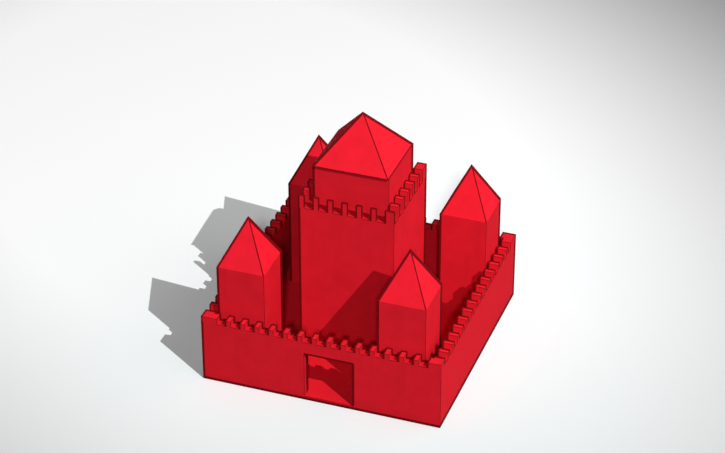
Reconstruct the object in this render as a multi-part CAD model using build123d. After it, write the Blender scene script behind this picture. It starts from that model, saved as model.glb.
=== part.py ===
from build123d import *
import os

# A walled castle: a square curtain wall with one gateway, a courtyard floor, four
# corner towers, and a keep with a crenellated parapet, an upper storey and a pyramid roof.
# Sizes are in millimetres. +Z is up, the gateway is in the front, which faces -Y, and the
# origin is the centre of the ground that the castle covers.

# Curtain wall
CASTLE_WIDTH = 20000
CASTLE_DEPTH = 20000
CURTAIN_THICKNESS = 900
CURTAIN_HEIGHT = 5500

# Crenellation of the curtain wall: a merlon stands between every two crenels
CURTAIN_MERLON_WIDTH = 500
CURTAIN_MERLON_HEIGHT = 500
CURTAIN_CRENEL_WIDTH = 700
CURTAIN_FIRST_CRENEL_X = 1350
CURTAIN_FIRST_CRENEL_Y = 1050

# Courtyard floor and gateway, which stands a little right of the middle
FLOOR_THICKNESS = 350
GATE_WIDTH = 4000
GATE_HEIGHT = 4000
GATE_OFFSET = 700

# Corner towers
TOWER_SIZE = 4000
TOWER_WALL = 600
TOWER_EAVE_HEIGHT = 10000
TOWER_ROOF_HEIGHT = 4000
TOWER_ROOF_SHELL = 500

# Where the towers stand, from the outer faces of the two walls that meet at their corner
FRONT_LEFT_TOWER_SIDE_INSET = 900
FRONT_LEFT_TOWER_END_INSET = 1350
FRONT_RIGHT_TOWER_SIDE_INSET = 1650
FRONT_RIGHT_TOWER_END_INSET = 1100
BACK_LEFT_TOWER_SIDE_INSET = 1650
BACK_LEFT_TOWER_END_INSET = 900
BACK_RIGHT_TOWER_SIDE_INSET = 1050
BACK_RIGHT_TOWER_END_INSET = 1250

# Shaft of the keep, which stands a hand's breadth right of the middle
KEEP_SIZE = 8000
KEEP_OFFSET = 50
KEEP_WALL = 1650
KEEP_WALK_HEIGHT = 13900

# Parapet of the keep
KEEP_MERLON_WIDTH = 500
KEEP_MERLON_HEIGHT = 1100
KEEP_CRENEL_WIDTH = 700
KEEP_FIRST_CRENEL_X = 500
KEEP_FIRST_CRENEL_Y = 250

# Upper storey of the keep, inside the parapet: insets are from the faces of the shaft
UPPER_LEFT_INSET = 850
UPPER_RIGHT_INSET = 800
UPPER_END_INSET = 1050
UPPER_WALL = 600
UPPER_EAVE_HEIGHT = 17300

# Roof of the keep, which overhangs the upper storey at the front
KEEP_ROOF_HEIGHT = 3900
KEEP_ROOF_SHELL = 400
KEEP_ROOF_OVERHANG = 200

# Limits of the castle, worked out from the sizes above
LEFT, RIGHT = -CASTLE_WIDTH / 2, CASTLE_WIDTH / 2
FRONT, BACK = -CASTLE_DEPTH / 2, CASTLE_DEPTH / 2
GATE_LEFT = GATE_OFFSET - GATE_WIDTH / 2
GATE_RIGHT = GATE_OFFSET + GATE_WIDTH / 2
GATE_TOP = FLOOR_THICKNESS + GATE_HEIGHT


def block(x, y, z):
    """A box between two limits along each axis."""
    size = Box(x[1] - x[0], y[1] - y[0], z[1] - z[0], align=(Align.MIN, Align.MIN, Align.MIN))
    return Pos(x[0], y[0], z[0]) * size


def pyramid(x, y, base, height):
    """A four-sided pyramid on a rectangle between two limits along X and Y."""
    centre_x = (x[0] + x[1]) / 2
    centre_y = (y[0] + y[1]) / 2
    foot = Pos(centre_x, centre_y, base) * Rectangle(x[1] - x[0], y[1] - y[0])
    return loft([foot.face(), Vertex(centre_x, centre_y, base + height)])


def pyramid_roof(x, y, base, height, shell):
    """A hollow pyramid, whose shell is the same measured straight down all over."""
    inner_share = (height - shell) / height
    inner_x = shrink(x, inner_share)
    inner_y = shrink(y, inner_share)
    return pyramid(x, y, base, height) - pyramid(inner_x, inner_y, base, height - shell)


def shrink(limits, share):
    """Limits drawn in towards their middle."""
    middle = (limits[0] + limits[1]) / 2
    half = (limits[1] - limits[0]) / 2 * share
    return middle - half, middle + half


def inset(limits, low, high):
    """Limits drawn in by an amount of their own at each end."""
    return limits[0] + low, limits[1] - high


def centred(size, middle):
    """Limits of a size about a middle."""
    return middle - size / 2, middle + size / 2


def merlon_spans(limits, first_crenel, crenel, merlon, least_end):
    """The low corner block, the merlons and the high corner block along one side."""
    length = limits[1] - limits[0]
    crenels = int((length - first_crenel - least_end + merlon) // (crenel + merlon))
    start = limits[0] + first_crenel + crenel
    merlons = [
        (start + number * (crenel + merlon), start + number * (crenel + merlon) + merlon)
        for number in range(crenels - 1)
    ]
    last_crenel_end = start + (crenels - 1) * (crenel + merlon)
    return (limits[0], limits[0] + first_crenel), merlons, (last_crenel_end, limits[1])


def curtain_walls():
    """The four walls round the courtyard, the front one in three pieces at the gateway."""
    height = (0, CURTAIN_HEIGHT)
    front = (FRONT, FRONT + CURTAIN_THICKNESS)
    back = (BACK - CURTAIN_THICKNESS, BACK)
    between = (front[1], back[0])
    return {
        "front_wall_left": block((LEFT, GATE_LEFT), front, height),
        "front_wall_right": block((GATE_RIGHT, RIGHT), front, height),
        "front_wall_over_gate": block((GATE_LEFT, GATE_RIGHT), front, (GATE_TOP, CURTAIN_HEIGHT)),
        "back_wall": block((LEFT, RIGHT), back, height),
        "left_wall": block((LEFT, LEFT + CURTAIN_THICKNESS), between, height),
        "right_wall": block((RIGHT - CURTAIN_THICKNESS, RIGHT), between, height),
    }


def floors():
    """The courtyard floor, and the threshold that carries it out through the gateway."""
    height = (0, FLOOR_THICKNESS)
    inside_x = inset((LEFT, RIGHT), CURTAIN_THICKNESS, CURTAIN_THICKNESS)
    inside_y = inset((FRONT, BACK), CURTAIN_THICKNESS, CURTAIN_THICKNESS)
    threshold_y = (FRONT, FRONT + CURTAIN_THICKNESS)
    return {
        "courtyard_floor": block(inside_x, inside_y, height),
        "gate_threshold": block((GATE_LEFT, GATE_RIGHT), threshold_y, height),
    }


def curtain_crenellation():
    """Merlons on each wall, and an L-shaped block where two walls meet."""
    height = (CURTAIN_HEIGHT, CURTAIN_HEIGHT + CURTAIN_MERLON_HEIGHT)
    across_x = merlon_spans(
        (LEFT, RIGHT), CURTAIN_FIRST_CRENEL_X, CURTAIN_CRENEL_WIDTH, CURTAIN_MERLON_WIDTH, CURTAIN_THICKNESS
    )
    across_y = merlon_spans(
        (FRONT, BACK), CURTAIN_FIRST_CRENEL_Y, CURTAIN_CRENEL_WIDTH, CURTAIN_MERLON_WIDTH, CURTAIN_THICKNESS
    )
    wall_x = (LEFT, LEFT + CURTAIN_THICKNESS), (RIGHT - CURTAIN_THICKNESS, RIGHT)
    wall_y = (FRONT, FRONT + CURTAIN_THICKNESS), (BACK - CURTAIN_THICKNESS, BACK)
    corners = [
        block(end_x, strip_y, height) + block(strip_x, end_y, height)
        for end_x, strip_x in zip((across_x[0], across_x[2]), wall_x)
        for end_y, strip_y in zip((across_y[0], across_y[2]), wall_y)
    ]
    return {
        "front_merlons": [block(span, wall_y[0], height) for span in across_x[1]],
        "back_merlons": [block(span, wall_y[1], height) for span in across_x[1]],
        "left_merlons": [block(wall_x[0], span, height) for span in across_y[1]],
        "right_merlons": [block(wall_x[1], span, height) for span in across_y[1]],
        "corner_merlons": corners,
    }


def corner_tower(name, left, front):
    """A hollow square shaft on the courtyard floor, and its pyramid roof."""
    x = (left, left + TOWER_SIZE)
    y = (front, front + TOWER_SIZE)
    height = (FLOOR_THICKNESS, TOWER_EAVE_HEIGHT)
    room = block(inset(x, TOWER_WALL, TOWER_WALL), inset(y, TOWER_WALL, TOWER_WALL), height)
    return {
        name + "_tower_shaft": block(x, y, height) - room,
        name + "_tower_roof": pyramid_roof(x, y, TOWER_EAVE_HEIGHT, TOWER_ROOF_HEIGHT, TOWER_ROOF_SHELL),
    }


def corner_towers():
    """A tower in each corner of the courtyard, at insets of its own."""
    front_left = LEFT + FRONT_LEFT_TOWER_SIDE_INSET, FRONT + FRONT_LEFT_TOWER_END_INSET
    front_right = RIGHT - FRONT_RIGHT_TOWER_SIDE_INSET - TOWER_SIZE, FRONT + FRONT_RIGHT_TOWER_END_INSET
    back_left = LEFT + BACK_LEFT_TOWER_SIDE_INSET, BACK - BACK_LEFT_TOWER_END_INSET - TOWER_SIZE
    back_right = RIGHT - BACK_RIGHT_TOWER_SIDE_INSET - TOWER_SIZE, BACK - BACK_RIGHT_TOWER_END_INSET - TOWER_SIZE
    return {
        **corner_tower("front_left", *front_left),
        **corner_tower("front_right", *front_right),
        **corner_tower("back_left", *back_left),
        **corner_tower("back_right", *back_right),
    }


def ring_of_walls(prefix, x, y, thickness, height):
    """Front and back walls over the whole width, and side walls between them."""
    between = inset(y, thickness, thickness)
    return {
        prefix + "_front_wall": block(x, (y[0], y[0] + thickness), height),
        prefix + "_back_wall": block(x, (y[1] - thickness, y[1]), height),
        prefix + "_left_wall": block((x[0], x[0] + thickness), between, height),
        prefix + "_right_wall": block((x[1] - thickness, x[1]), between, height),
    }


def keep_parapet(x, y):
    """Merlons as thick as the corner blocks of their side, round the wall walk."""
    height = (KEEP_WALK_HEIGHT, KEEP_WALK_HEIGHT + KEEP_MERLON_HEIGHT)
    left, merlons_x, right = merlon_spans(
        x, KEEP_FIRST_CRENEL_X, KEEP_CRENEL_WIDTH, KEEP_MERLON_WIDTH, KEEP_FIRST_CRENEL_X
    )
    front, merlons_y, back = merlon_spans(
        y, KEEP_FIRST_CRENEL_Y, KEEP_CRENEL_WIDTH, KEEP_MERLON_WIDTH, KEEP_FIRST_CRENEL_Y
    )
    return {
        "keep_front_merlons": [block(span, front, height) for span in merlons_x],
        "keep_back_merlons": [block(span, back, height) for span in merlons_x],
        "keep_left_merlons": [block(left, span, height) for span in merlons_y],
        "keep_right_merlons": [block(right, span, height) for span in merlons_y],
        "keep_corner_merlons": [block(a, b, height) for a in (left, right) for b in (front, back)],
    }


def keep():
    """The shaft with its parapet, the upper storey inside it, and the roof."""
    x, y = centred(KEEP_SIZE, KEEP_OFFSET), centred(KEEP_SIZE, 0)
    upper_x = inset(x, UPPER_LEFT_INSET, UPPER_RIGHT_INSET)
    upper_y = inset(y, UPPER_END_INSET, UPPER_END_INSET)
    roof_y = inset(upper_y, -KEEP_ROOF_OVERHANG, 0)
    shaft_height = (FLOOR_THICKNESS, KEEP_WALK_HEIGHT)
    upper_height = (KEEP_WALK_HEIGHT, UPPER_EAVE_HEIGHT)
    return {
        **ring_of_walls("keep", x, y, KEEP_WALL, shaft_height),
        **keep_parapet(x, y),
        **ring_of_walls("upper", upper_x, upper_y, UPPER_WALL, upper_height),
        "keep_roof": pyramid_roof(upper_x, roof_y, UPPER_EAVE_HEIGHT, KEEP_ROOF_HEIGHT, KEEP_ROOF_SHELL),
    }


def write(name, piece):
    """One STEP file for a node, which holds one solid or a row of separate ones."""
    solids = piece if isinstance(piece, list) else [piece]
    node = Compound(children=[solid for part in solids for solid in part.solids()])
    node.label = name
    export_step(node, os.path.join("parts", name + ".step"))


os.makedirs("parts", exist_ok=True)
castle = {**floors(), **curtain_walls(), **curtain_crenellation(), **corner_towers(), **keep()}
for node_name, node_piece in castle.items():
    write(node_name, node_piece)
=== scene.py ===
from math import cos, pi, radians, sin, tan

import bpy
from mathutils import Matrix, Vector


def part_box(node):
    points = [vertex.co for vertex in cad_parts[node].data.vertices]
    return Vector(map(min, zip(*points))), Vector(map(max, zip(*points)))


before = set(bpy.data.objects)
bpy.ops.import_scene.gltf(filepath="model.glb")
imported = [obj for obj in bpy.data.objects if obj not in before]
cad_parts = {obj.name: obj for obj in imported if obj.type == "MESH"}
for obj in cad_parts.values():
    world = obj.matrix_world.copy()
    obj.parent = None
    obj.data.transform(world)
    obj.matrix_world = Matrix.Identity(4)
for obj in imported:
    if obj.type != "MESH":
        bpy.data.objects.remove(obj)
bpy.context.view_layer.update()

# A walled castle in thick red limewash: the solids are the frame's own, and this script
# gives them their finishes, the floor they stand on, the light and the camera.
# Sizes are in metres, angles in degrees, the camera's lens and sensor in millimetres, and
# colours are linear. +Z is up, and the gateway faces -Y.

# The castle's sides, from the front round to the left, and the height of the ground
AROUND = ("front", "right", "back", "left")
GROUND = 0.0

# Crenels, the same in the curtain wall and in the keep's parapet
CRENEL_WIDTH = 0.7
CRENEL_SPACING = 1.2
SILL_PLAY = 0.01

# Arrises, where the limewash is worn down to the dark undercoat, and where the same dark band is painted
# shade along edges, in creases and at the wall's foot
WORN_AND_SHADE_WIDTH = 0.16
WORN_AND_SHADE_FADE = 0.03
WORN_AND_SHADE_WANDER = 0.04
WORN_AND_SHADE_WANDER_SCALE = 2.5
WORN_AND_SHADE_WANDER_DETAIL = 5.0
KEPT_WIDTH = 0.13
HIP_KEPT_WIDTH = 0.11
# Painted shadow: a thin dark band along the keep roof's eaves, for the shadow that its overhang casts
EAVES_SHADOW_KEPT_WIDTH = 0.085
FAR_OFF = 10.0

# Shares of the distance from an arris: the smaller the share, the wider the dark band of wear and painted
# shade
LEFT_SHARE = 0.85
BACK_SHARE_UPRIGHT = 0.33
BACK_SHARE_TOP = 0.55
FOOT_SHARE = 0.65
FOOT_SHARE_SIDE = 0.38
HIP_SHARE = 1.15
HIP_SHARE_SIDE = 0.6
MERLON_SHARE = 1.45

# How far a surface faces one way, from 0 to 1, where a change of finish starts and ends
FACING_LOW = 0.2
FACING_HIGH = 0.8

# Limewash on walls, roofs and floor
WALL_DEEP = (0.62, 0.0095, 0.0205, 1)
WALL_PALE = (0.68, 0.0105, 0.0225, 1)
# A lighter red for roofs and faces that look up: painted light, for the light falling on them from above
LIT_TOP_DEEP = (0.73, 0.0110, 0.024, 1)
LIT_TOP_PALE = (0.79, 0.0120, 0.027, 1)
# The dark band at arrises: undercoat where the coat is worn, and painted shade along edges, in creases and
# at the foot
UNDERCOAT_AND_SHADE_RED = (0.155, 0.0020, 0.004, 1)
# Painted shade: a darker red on the keep's walk and, a little, on the crenels' sills, where they lie in
# shade
WALK_SHADE_RED = (0.42, 0.0070, 0.014, 1)
WALK_SHADE_SHARE = 0.9
WALK_SHADE_FADE = 0.06
SILL_SHADE_SHARE = 0.4
DIRT_RED = (0.42, 0.008, 0.012, 1)
LIMEWASH_SPECULAR = 0.05
NOISE_MIDDLE = 0.5
MOTTLE_SCALE = 0.7
MOTTLE_DETAIL = 6.0
MOTTLE_LOW = 0.3
MOTTLE_HIGH = 0.7
STREAK_STRETCH = (2.2, 2.2, 0.14)
STREAK_DETAIL = 4.0
STREAK_LOW = 0.5
STREAK_HIGH = 0.75
STREAK_SHARE = 0.16
DAMP_LOW = 0.4
DAMP_HIGH = 1.6
DAMP_WANDER = 0.9
DAMP_SHARE = 0.2
TROWEL_STRETCH = (1.6, 1.6, 2.6)
TROWEL_DETAIL = 2.0
TROWEL_DEPTH = 0.012
GRAIN_SCALE = 28.0
GRAIN_DETAIL = 4.0
GRAIN_SHARE = 0.08
GRAIN_DEPTH = 0.004
RELIEF_STRENGTH = 0.6
ROUGH_LOW = 0.35
ROUGH_HIGH = 0.65
SMOOTHEST = 0.72
ROUGHEST = 0.92

# Floor under the castle: it is painted palest behind the castle and darker far away, as a pool of light
STAGE_SIZE = 900.0
STAGE_BLACK = (0.0, 0.0, 0.0, 1)
STAGE_GREY = (0.15, 0.15, 0.15, 1)
STAGE_PALE = (1.0, 1.0, 1.0, 1)
PALE_MIDDLE = (-20.2, 24.3)
PALE_TURN = 45.3
PALE_NARROW = 52.9
PALE_WIDE = 77.3
PALE_STRENGTH = 1.15
PALE_FALL = 1.233
PALE_MOST = 0.995
PALE_LEAST = 0.35
# A cooler floor painted before the lit walls, to cancel the red light they throw on it
COOL_PALE = (0.88, 1.0, 1.0, 1)
COOL_MIDDLE = (5.0, -5.0)
COOL_REACH = 22.0

# Light: one strong lamp at the front right, three weak ones, and the sky
LAMP_PLACE = (261.4, -191.9, 310.1)
LAMP_STRENGTH = 2.83
LAMP_SPREAD = 0.14
FRONT_FILL_DIRECTION = (0.2845, -0.7975, 0.532)
FRONT_FILL_STRENGTH = 1.0
FRONT_FILL_SPREAD = 3.0
RIGHT_FILL_DIRECTION = (0.95, 0.25, 0.2)
RIGHT_FILL_STRENGTH = 1.3
BACK_FILL_DIRECTION = (-0.66, 0.66, 0.36)
BACK_FILL_STRENGTH = 0.25
WIDE_SPREAD = 90.0
SKY_STRENGTH = 0.12
SKY_WHITE = (1.0, 1.0, 1.0, 1)

# Camera
CAMERA_PLACE = (56.775, -159.186, 116.764)
CAMERA_TILT = 57.856
CAMERA_TURN = 19.627
CAMERA_LENS = 123.7
CAMERA_SENSOR = 36.0
CAMERA_REACH = 2000.0


class Socket:
    """An output of one node of a finish, with arithmetic that adds Math nodes."""

    def __init__(self, finish, output):
        self.finish = finish
        self.output = output

    def __add__(self, other):
        return self.finish.math("ADD", self, other)

    def __sub__(self, other):
        return self.finish.math("SUBTRACT", self, other)

    def __rsub__(self, other):
        return self.finish.math("SUBTRACT", other, self)

    def __mul__(self, other):
        return self.finish.math("MULTIPLY", self, other)

    def __truediv__(self, other):
        return self.finish.math("DIVIDE", self, other)

    def __pow__(self, other):
        return self.finish.math("POWER", self, other)

    def __abs__(self):
        return self.finish.math("ABSOLUTE", self)

    __radd__ = __add__
    __rmul__ = __mul__


class Finish:
    """A material, or the world, while its nodes are added."""

    def __init__(self, owner):
        owner.use_nodes = True
        self.owner = owner
        self.tree = owner.node_tree

    def add(self, kind, settings=None, inputs=None, output=0):
        """Adds a node, sets its settings and then its sockets, and gives one output."""
        node = self.tree.nodes.new(kind)
        for name, value in (settings or {}).items():
            setattr(node, name, value)
        self.feed(node, inputs or {})
        return Socket(self, node.outputs[output])

    def feed(self, node, inputs):
        """Gives each named socket of a node a link or a value."""
        for name, value in inputs.items():
            if isinstance(value, Socket):
                self.tree.links.new(value.output, node.inputs[name])
            else:
                node.inputs[name].default_value = value

    def math(self, operation, *values):
        return self.add("ShaderNodeMath", {"operation": operation}, dict(enumerate(values)))

    def mix(self, share, first, second):
        """A colour between two colours."""
        factor, colour_a, colour_b, result = 0, 6, 7, 2
        sockets = {factor: share, colour_a: first, colour_b: second}
        return self.add("ShaderNodeMix", {"data_type": "RGBA"}, sockets, result)

    def ramp(self, value, low, high, low_result=0.0, high_result=1.0):
        """A smooth change between two results as the value goes from low to high."""
        sockets = {
            "Value": value,
            "From Min": low,
            "From Max": high,
            "To Min": low_result,
            "To Max": high_result,
        }
        return self.add("ShaderNodeMapRange", {"interpolation_type": "SMOOTHSTEP"}, sockets)

    def turned(self, facing, low_result=0.0, high_result=1.0):
        """A change between two results as the surface turns to face one way."""
        return self.ramp(facing, FACING_LOW, FACING_HIGH, low_result, high_result)

    def place(self):
        """The point of the surface, in metres from the middle of the ground."""
        return self.add("ShaderNodeTexCoord", output="Object")

    def facing(self):
        """How far the surface faces right, back and up, from -1 to 1."""
        return self.axes(self.add("ShaderNodeNewGeometry", output="Normal"))

    def axes(self, vector):
        """The three coordinates of a vector, one by one."""
        split = self.add("ShaderNodeSeparateXYZ", inputs={"Vector": vector}).output.node
        return [Socket(self, output) for output in split.outputs]

    def stretch(self, vector, shares):
        inputs = {0: vector, 1: shares}
        return self.add("ShaderNodeVectorMath", {"operation": "MULTIPLY"}, inputs)

    def noise(self, vector, detail, scale=1.0):
        inputs = {"Vector": vector, "Scale": scale, "Detail": detail}
        return self.add("ShaderNodeTexNoise", inputs=inputs)

    def smaller(self, first, second):
        return self.math("MINIMUM", first, second)

    def larger(self, first, second):
        return self.math("MAXIMUM", first, second)


def to_arris(finish, distances):
    """How far a point is from an arris, given its distance from each face of the form.

    A point of the surface lies in one face, so the second smallest distance is the one to
    the nearest edge of that face.
    """
    nearest, second = distances[0], distances[1]
    nearest, second = finish.smaller(nearest, second), finish.larger(nearest, second)
    for distance in distances[2:]:
        second = finish.smaller(second, finish.larger(nearest, distance))
        nearest = finish.smaller(nearest, distance)
    return second


def beside_left(distance):
    """Distance from a face that looks left, away from the lamp, where the dark band of wear and painted
    shade is wide.
    """
    return distance * LEFT_SHARE


def beside_back(distance):
    """Distance from a face that looks back, where the dark band of wear and painted shade is widest, above
    all on upright faces.

    It is far off on the face that looks to the front, which has no arris with the back.
    """
    along, upwards = distance.finish.facing()[1:]
    share = distance.finish.turned(upwards, BACK_SHARE_UPRIGHT, BACK_SHARE_TOP)
    return distance * (share + abs(along) * FAR_OFF)


def beside_kept(distance):
    """Distance from a face that looks to the front, to the right or up, where most of the coat is kept and
    the dark band is narrow.
    """
    return distance + KEPT_WIDTH


def side_faces(finish, low, high):
    """Distances from the left, back, right and front faces of a form."""
    x, y = finish.axes(finish.place())[:2]
    left, back = beside_left(x - low.x), beside_back(high.y - y)
    right, front = beside_kept(high.x - x), beside_kept(y - low.y)
    return [left, back, right, front]


def channel_faces(finish, along, row, beyond, before):
    """Distance from the nearest of the channels that the crenels cut, or 0 in one.

    The two functions say how the distance counts beyond a channel and before it.
    """
    first = row[0] - CRENEL_WIDTH / 2
    count = round((row[1] - row[0] + CRENEL_WIDTH) / CRENEL_SPACING)
    number = finish.math("ROUND", (along - first) / CRENEL_SPACING)
    number = finish.smaller(finish.larger(number, 0.0), float(count))
    offset = along - number * CRENEL_SPACING - first
    clear = finish.larger(beyond(offset - CRENEL_WIDTH / 2), before(0.0 - offset - CRENEL_WIDTH / 2))
    return finish.larger(clear, 0.0)


def merlon_share(finish, sill):
    """More than 1 on the merlons, which are small and whose dark band of wear and painted shade is
    narrower.
    """
    height = finish.axes(finish.place())[2]
    on_merlons = finish.math("GREATER_THAN", height, sill + SILL_PLAY)
    return on_merlons * (MERLON_SHARE - 1) + 1.0


def battlement_faces(finish, merlons_x, merlons_y, outline, sill):
    """Distances from the faces of a square wall with crenels cut across it both ways.

    A corner block has faces towards both rows of crenels, so the farther row counts as well.
    """
    x, y, z = finish.axes(finish.place())
    low, high = outline
    share = merlon_share(finish, sill)
    row_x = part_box(merlons_x)[0].x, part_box(merlons_x)[1].x
    row_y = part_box(merlons_y)[0].y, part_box(merlons_y)[1].y
    from_x = channel_faces(finish, x, row_x, lambda distance: beside_left(distance) * share, beside_kept)
    from_y = channel_faces(finish, y, row_y, beside_kept, lambda distance: beside_back(distance) * share)
    below_sill = finish.math("LESS_THAN", z, sill - SILL_PLAY)
    depth = finish.larger(sill - z, 0.0) + below_sill * KEPT_WIDTH
    nearer = finish.smaller(from_x, from_y)
    crenels = finish.math("SQRT", nearer * nearer + depth * depth)
    not_above_sill = finish.math("LESS_THAN", z, sill + SILL_PLAY)
    farther = finish.larger(from_x, from_y) + not_above_sill * FAR_OFF
    left, back, right, front = side_faces(finish, low, high)
    return [left * share, back * share, right, front, crenels, farther, beside_kept(high.z - z)]


def court_faces(finish, half, share):
    """Distance from the faces that the curtain wall turns to the courtyard, above its floor."""
    x, y, z = finish.axes(finish.place())
    on_the_floor = finish.math("LESS_THAN", z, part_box("gate_threshold")[1].z + SILL_PLAY)
    of_front_wall = beside_back(0.0 - y - half)
    of_right_wall = beside_left(x - half)
    of_back_wall = beside_kept(y - half)
    of_left_wall = beside_kept(0.0 - x - half)
    of_worn_walls = finish.larger(of_front_wall, of_right_wall) * share
    nearest = finish.larger(of_worn_walls, finish.larger(of_back_wall, of_left_wall))
    return nearest + on_the_floor * FAR_OFF


def gateway_faces(finish):
    """Distance from the jambs, the lintel and the threshold of the gateway."""
    x, y, z = finish.axes(finish.place())
    low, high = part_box("front_wall_over_gate")
    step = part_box("gate_threshold")[1].z
    right_jamb = beside_left(x - high.x)
    left_jamb = beside_kept(low.x - x)
    sideways = finish.larger(finish.larger(right_jamb, left_jamb), 0.0)
    upwards = finish.larger(finish.larger(z - low.z, beside_kept(step - z)), 0.0)
    behind_front_wall = finish.math("GREATER_THAN", y, high.y + SILL_PLAY)
    return finish.math("SQRT", sideways * sideways + upwards * upwards) + behind_front_wall * FAR_OFF


def above_foot(finish):
    """Distance from the foot of the curtain wall, where the dark band of wear and painted shade reaches
    highest on the two side walls.
    """
    height = finish.axes(finish.place())[2]
    sideways = abs(finish.facing()[0])
    return height * finish.turned(sideways, FOOT_SHARE, FOOT_SHARE_SIDE)


def curtain_arris(finish):
    """How far a point of the curtain wall is from an arris."""
    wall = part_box("left_wall")
    faces = battlement_faces(finish, "front_merlons", "left_merlons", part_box("corner_merlons"), wall[1].z)
    court = court_faces(finish, -wall[1].x, merlon_share(finish, wall[1].z))
    return to_arris(finish, faces + [court, gateway_faces(finish), above_foot(finish)])


def keep_arris(finish):
    """How far a point of the keep's shaft or parapet is from an arris."""
    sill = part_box("keep_front_wall")[1].z
    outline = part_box("keep_corner_merlons")
    faces = battlement_faces(finish, "keep_front_merlons", "keep_left_merlons", outline, sill)
    return to_arris(finish, faces)


def roof_arris(finish, low, high, eaves):
    """How far a point of a pyramid roof is from its hips and its eaves."""
    x, y, z = finish.axes(finish.place())
    half_x, half_y = (high.x - low.x) / 2, (high.y - low.y) / 2
    corner = (half_x * half_x + half_y * half_y) ** 0.5
    across = (x - (low.x + high.x) / 2) * (half_y / corner)
    along = (y - (low.y + high.y) / 2) * (half_x / corner)
    sideways = abs(finish.facing()[0])
    outer_hips = abs(across - along) * finish.turned(sideways, HIP_SHARE, HIP_SHARE_SIDE)
    inner_hips = abs(across + along) + HIP_KEPT_WIDTH
    return finish.smaller(finish.smaller(outer_hips, inner_hips), z - low.z + eaves)


def sills(finish, sill):
    """More than 0 on the sills of the crenels, which a little painted shade darkens."""
    height = finish.axes(finish.place())[2]
    level = finish.math("LESS_THAN", abs(height - sill), SILL_PLAY)
    return level * finish.turned(finish.facing()[2]) * SILL_SHADE_SHARE


def curtain_sills(finish):
    return sills(finish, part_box("left_wall")[1].z)


def keep_walk(finish):
    """1 on the keep's walk, which painted shade darkens, and less on its sills."""
    x, y = finish.axes(finish.place())[:2]
    from_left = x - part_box("keep_left_merlons")[1].x
    from_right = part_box("keep_right_merlons")[0].x - x
    from_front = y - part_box("keep_front_merlons")[1].y
    from_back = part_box("keep_back_merlons")[0].y - y
    inside = finish.smaller(finish.smaller(from_left, from_right), finish.smaller(from_front, from_back))
    walk = finish.ramp(inside, 0.0, WALK_SHADE_FADE) * finish.turned(finish.facing()[2])
    return finish.larger(walk, sills(finish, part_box("keep_front_wall")[1].z))


def mottled_coat(finish, mottle, deep, pale):
    """The coat of limewash, painted lighter where it faces up: painted light on the tops."""
    mottled = finish.ramp(mottle, MOTTLE_LOW, MOTTLE_HIGH)
    painted_light_top = finish.mix(mottled, LIT_TOP_DEEP, LIT_TOP_PALE)
    return finish.mix(finish.turned(finish.facing()[2]), finish.mix(mottled, deep, pale), painted_light_top)


def dirtied(finish, red, mottle, grain, foot):
    """The coat with faint streaks of rain, a little dirt above its foot, and dirt in its grain."""
    place = finish.place()
    streak = finish.noise(finish.stretch(place, STREAK_STRETCH), STREAK_DETAIL)
    red = finish.mix(finish.ramp(streak, STREAK_LOW, STREAK_HIGH) * STREAK_SHARE, red, DIRT_RED)
    height = finish.axes(place)[2] + mottle * DAMP_WANDER
    red = finish.mix(finish.ramp(height, foot + DAMP_LOW, foot + DAMP_HIGH, DAMP_SHARE, 0.0), red, DIRT_RED)
    return finish.mix(grain * GRAIN_SHARE, red, DIRT_RED)


def worn_and_shaded(finish, distance):
    """1 beside an arris, where the undercoat shows and painted shade darkens the coat, and 0 away from it.
    """
    wander = finish.noise(finish.place(), WORN_AND_SHADE_WANDER_DETAIL, WORN_AND_SHADE_WANDER_SCALE)
    edge = distance + (wander - NOISE_MIDDLE) * WORN_AND_SHADE_WANDER
    return finish.ramp(edge, WORN_AND_SHADE_WIDTH - WORN_AND_SHADE_FADE / 2, WORN_AND_SHADE_WIDTH + WORN_AND_SHADE_FADE / 2, 1.0, 0.0)


def limewash(name, arris, foot, deep=WALL_DEEP, pale=WALL_PALE, painted_shade=None):
    """Thick red limewash, mottled and trowelled, worn along the arrises and darkened there with painted
    shade.

    The function arris gives the distance from an arris, and the other function, if given, says where
    painted shade darkens the coat.
    """
    finish = Finish(bpy.data.materials.new(name))
    place = finish.place()
    mottle = finish.noise(place, MOTTLE_DETAIL, MOTTLE_SCALE)
    grain = finish.noise(place, GRAIN_DETAIL, GRAIN_SCALE)
    trowel = finish.noise(finish.stretch(place, TROWEL_STRETCH), TROWEL_DETAIL)

    red = mottled_coat(finish, mottle, deep, pale)
    # Painted shade on the keep's walk and the crenels' sills
    if painted_shade:
        red = finish.mix(painted_shade(finish) * WALK_SHADE_SHARE, red, WALK_SHADE_RED)
    red = dirtied(finish, red, mottle, grain, foot)
    # The dark band: wear to the undercoat, and painted shade in creases and on faces turned from the lamp
    worn = worn_and_shaded(finish, arris(finish))
    colour = finish.mix(worn, red, UNDERCOAT_AND_SHADE_RED)

    rough = finish.ramp((grain + mottle) / 2, ROUGH_LOW, ROUGH_HIGH, SMOOTHEST, ROUGHEST)
    relief = trowel * TROWEL_DEPTH + (grain - worn) * GRAIN_DEPTH
    bump = {"Height": relief, "Distance": 1.0, "Strength": RELIEF_STRENGTH}
    normal = finish.add("ShaderNodeBump", inputs=bump)

    shader = finish.tree.nodes["Principled BSDF"]
    shader.inputs["Specular IOR Level"].default_value = LIMEWASH_SPECULAR
    finish.feed(shader, {"Base Color": colour, "Roughness": rough, "Normal": normal})
    return finish.owner


def give(material, *nodes):
    """Puts a material on solids of the frame."""
    for node in nodes:
        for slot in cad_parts[node].material_slots:
            slot.link = "OBJECT"
            slot.material = material


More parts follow.
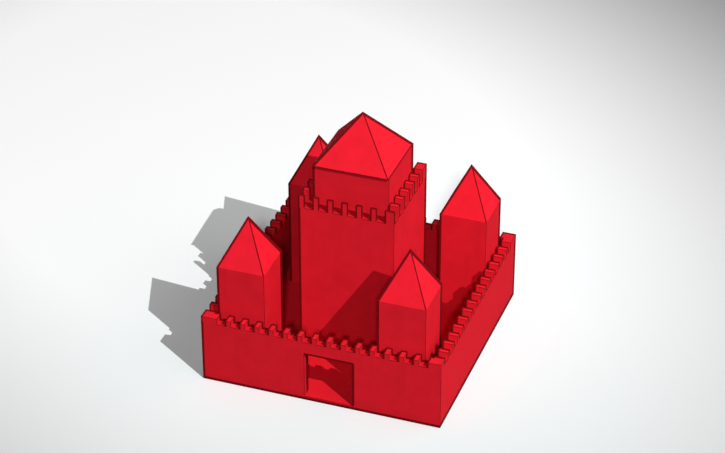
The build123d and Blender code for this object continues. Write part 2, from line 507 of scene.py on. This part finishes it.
def dress_curtain():
    material = limewash("curtain_limewash", curtain_arris, GROUND, painted_shade=curtain_sills)
    give(material, "front_wall_left", "front_wall_right", "front_wall_over_gate", "gate_threshold")
    give(material, "right_wall", "back_wall", "left_wall")
    give(material, *(f"{side}_merlons" for side in AROUND), "corner_merlons")


def dress_keep():
    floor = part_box("courtyard_floor")[1].z
    material = limewash("keep_limewash", keep_arris, floor, painted_shade=keep_walk)
    for side in AROUND:
        give(material, f"keep_{side}_wall", f"keep_{side}_merlons")
    give(material, "keep_corner_merlons")


def dress_block(name, low, high, *nodes):
    """Limewash for solids that together make a plain block, worn and darkened with painted shade along its
    upright arrises.
    """

    def arris(finish):
        return to_arris(finish, side_faces(finish, low, high))

    give(limewash(name, arris, low.z), *nodes)


def dress_upper_storey():
    low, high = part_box("upper_front_wall")[0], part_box("upper_back_wall")[1]
    dress_block("upper_limewash", low, high, *(f"upper_{side}_wall" for side in AROUND))


def dress_shaft(node):
    low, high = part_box(node)
    dress_block(node + "_limewash", low, high, node)


def dress_roof(node, eaves):
    """Limewash for a pyramid roof, which stands too high to be dirty at its foot."""
    low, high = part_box(node)

    def arris(finish):
        return roof_arris(finish, low, high, eaves)

    give(limewash(node + "_limewash", arris, -FAR_OFF, LIT_TOP_DEEP, LIT_TOP_PALE), node)


def dress_floor():
    """Limewash for the courtyard's floor, which has no arris to wear."""
    give(limewash("courtyard_limewash", lambda finish: FAR_OFF, GROUND), "courtyard_floor")


def dress_castle():
    dress_curtain()
    dress_keep()
    dress_upper_storey()
    # The keep roof's eaves take a band of painted shadow; the towers' eaves take none
    dress_roof("keep_roof", EAVES_SHADOW_KEPT_WIDTH)
    for end in ("front", "back"):
        for side in ("left", "right"):
            dress_shaft(f"{end}_{side}_tower_shaft")
            dress_roof(f"{end}_{side}_tower_roof", FAR_OFF)
    dress_floor()


def shown_directly(finish):
    """1 for the camera and for what it sees mirrored or through glass, else 0."""
    path = finish.add("ShaderNodeLightPath").output.node
    camera, glossy, through = (
        Socket(finish, path.outputs[name])
        for name in ("Is Camera Ray", "Is Glossy Ray", "Is Transmission Ray")
    )
    return finish.smaller(camera + glossy + through, 1.0)


def beside_lit_walls(finish):
    """Nearly 1 before the two lit walls, where the floor is painted cooler to take out the red light they
    throw on it.
    """
    x, y = finish.axes(finish.place())[:2]
    x, y = (x - COOL_MIDDLE[0]) / COOL_REACH, (y - COOL_MIDDLE[1]) / COOL_REACH
    return finish.math("EXPONENT", 0.0 - x * x - y * y)


def pale_floor(finish):
    """The floor as the camera sees it, painted palest behind the castle as a pool of light."""
    x, y = finish.axes(finish.place())[:2]
    x, y = x - PALE_MIDDLE[0], y - PALE_MIDDLE[1]
    turned_x, turned_y = cos(radians(PALE_TURN)), sin(radians(PALE_TURN))
    narrow = (x * turned_x + y * turned_y) / PALE_NARROW
    wide = (y * turned_x - x * turned_y) / PALE_WIDE
    fall = (narrow * narrow + wide * wide) ** PALE_FALL
    level = finish.math("EXPONENT", 0.0 - fall) * PALE_STRENGTH
    level = finish.larger(finish.smaller(level, PALE_MOST), PALE_LEAST)
    pale = finish.mix(beside_lit_walls(finish), STAGE_PALE, COOL_PALE)
    return finish.mix(level, STAGE_BLACK, pale)


def make_stage():
    """A plain pale floor that takes the castle's shadow."""
    half = STAGE_SIZE / 2
    mesh = bpy.data.meshes.new("stage_floor")
    corners = [(-half, -half, GROUND), (half, -half, GROUND), (half, half, GROUND), (-half, half, GROUND)]
    mesh.from_pydata(corners, [], [range(len(corners))])
    floor = bpy.data.objects.new("stage_floor", mesh)
    bpy.context.collection.objects.link(floor)
    finish = Finish(bpy.data.materials.new("stage_floor"))
    shader = finish.tree.nodes["Principled BSDF"]
    shader.inputs["Roughness"].default_value = 1.0
    shader.inputs["Specular IOR Level"].default_value = 0.0
    finish.feed(shader, {"Base Color": finish.mix(shown_directly(finish), STAGE_GREY, pale_floor(finish))})
    mesh.materials.append(finish.owner)


def make_fill(name, direction, strength, spread):
    """A weak lamp, which shines evenly from one direction."""
    fill = bpy.data.lights.new(name, "SUN")
    fill.energy = strength
    fill.angle = radians(spread)
    fill_stand = bpy.data.objects.new(name, fill)
    fill_stand.rotation_euler = Vector(direction).to_track_quat("Z", "Y").to_euler()
    bpy.context.collection.objects.link(fill_stand)


def make_light():
    """The strong lamp, whose shadows are crisp, the weak ones, and the sky."""
    place = Vector(LAMP_PLACE)
    lamp = bpy.data.lights.new("studio_lamp", "POINT")
    lamp.energy = LAMP_STRENGTH * 4 * pi * place.length_squared
    lamp.shadow_soft_size = place.length * tan(radians(LAMP_SPREAD / 2))
    lamp_stand = bpy.data.objects.new("studio_lamp", lamp)
    lamp_stand.location = place
    bpy.context.collection.objects.link(lamp_stand)

    make_fill("front_fill", FRONT_FILL_DIRECTION, FRONT_FILL_STRENGTH, FRONT_FILL_SPREAD)
    make_fill("right_fill", RIGHT_FILL_DIRECTION, RIGHT_FILL_STRENGTH, WIDE_SPREAD)
    make_fill("back_fill", BACK_FILL_DIRECTION, BACK_FILL_STRENGTH, WIDE_SPREAD)

    world = bpy.data.worlds.new("studio")
    bpy.context.scene.world = world
    sky = Finish(world)
    background = sky.tree.nodes["Background"]
    sky.feed(background, {"Strength": sky.ramp(shown_directly(sky), 0.0, 1.0, SKY_STRENGTH, PALE_LEAST)})
    background.inputs["Color"].default_value = SKY_WHITE


def make_camera():
    camera = bpy.data.objects.new("camera", bpy.data.cameras.new("camera"))
    bpy.context.collection.objects.link(camera)
    camera.location = CAMERA_PLACE
    camera.rotation_euler = (radians(CAMERA_TILT), 0, radians(CAMERA_TURN))
    camera.data.lens = CAMERA_LENS
    camera.data.sensor_width = CAMERA_SENSOR
    camera.data.sensor_fit = "HORIZONTAL"
    camera.data.clip_end = CAMERA_REACH
    bpy.context.scene.camera = camera


make_camera()
make_stage()
make_light()
dress_castle()

bpy.context.scene.view_settings.view_transform = "Standard"
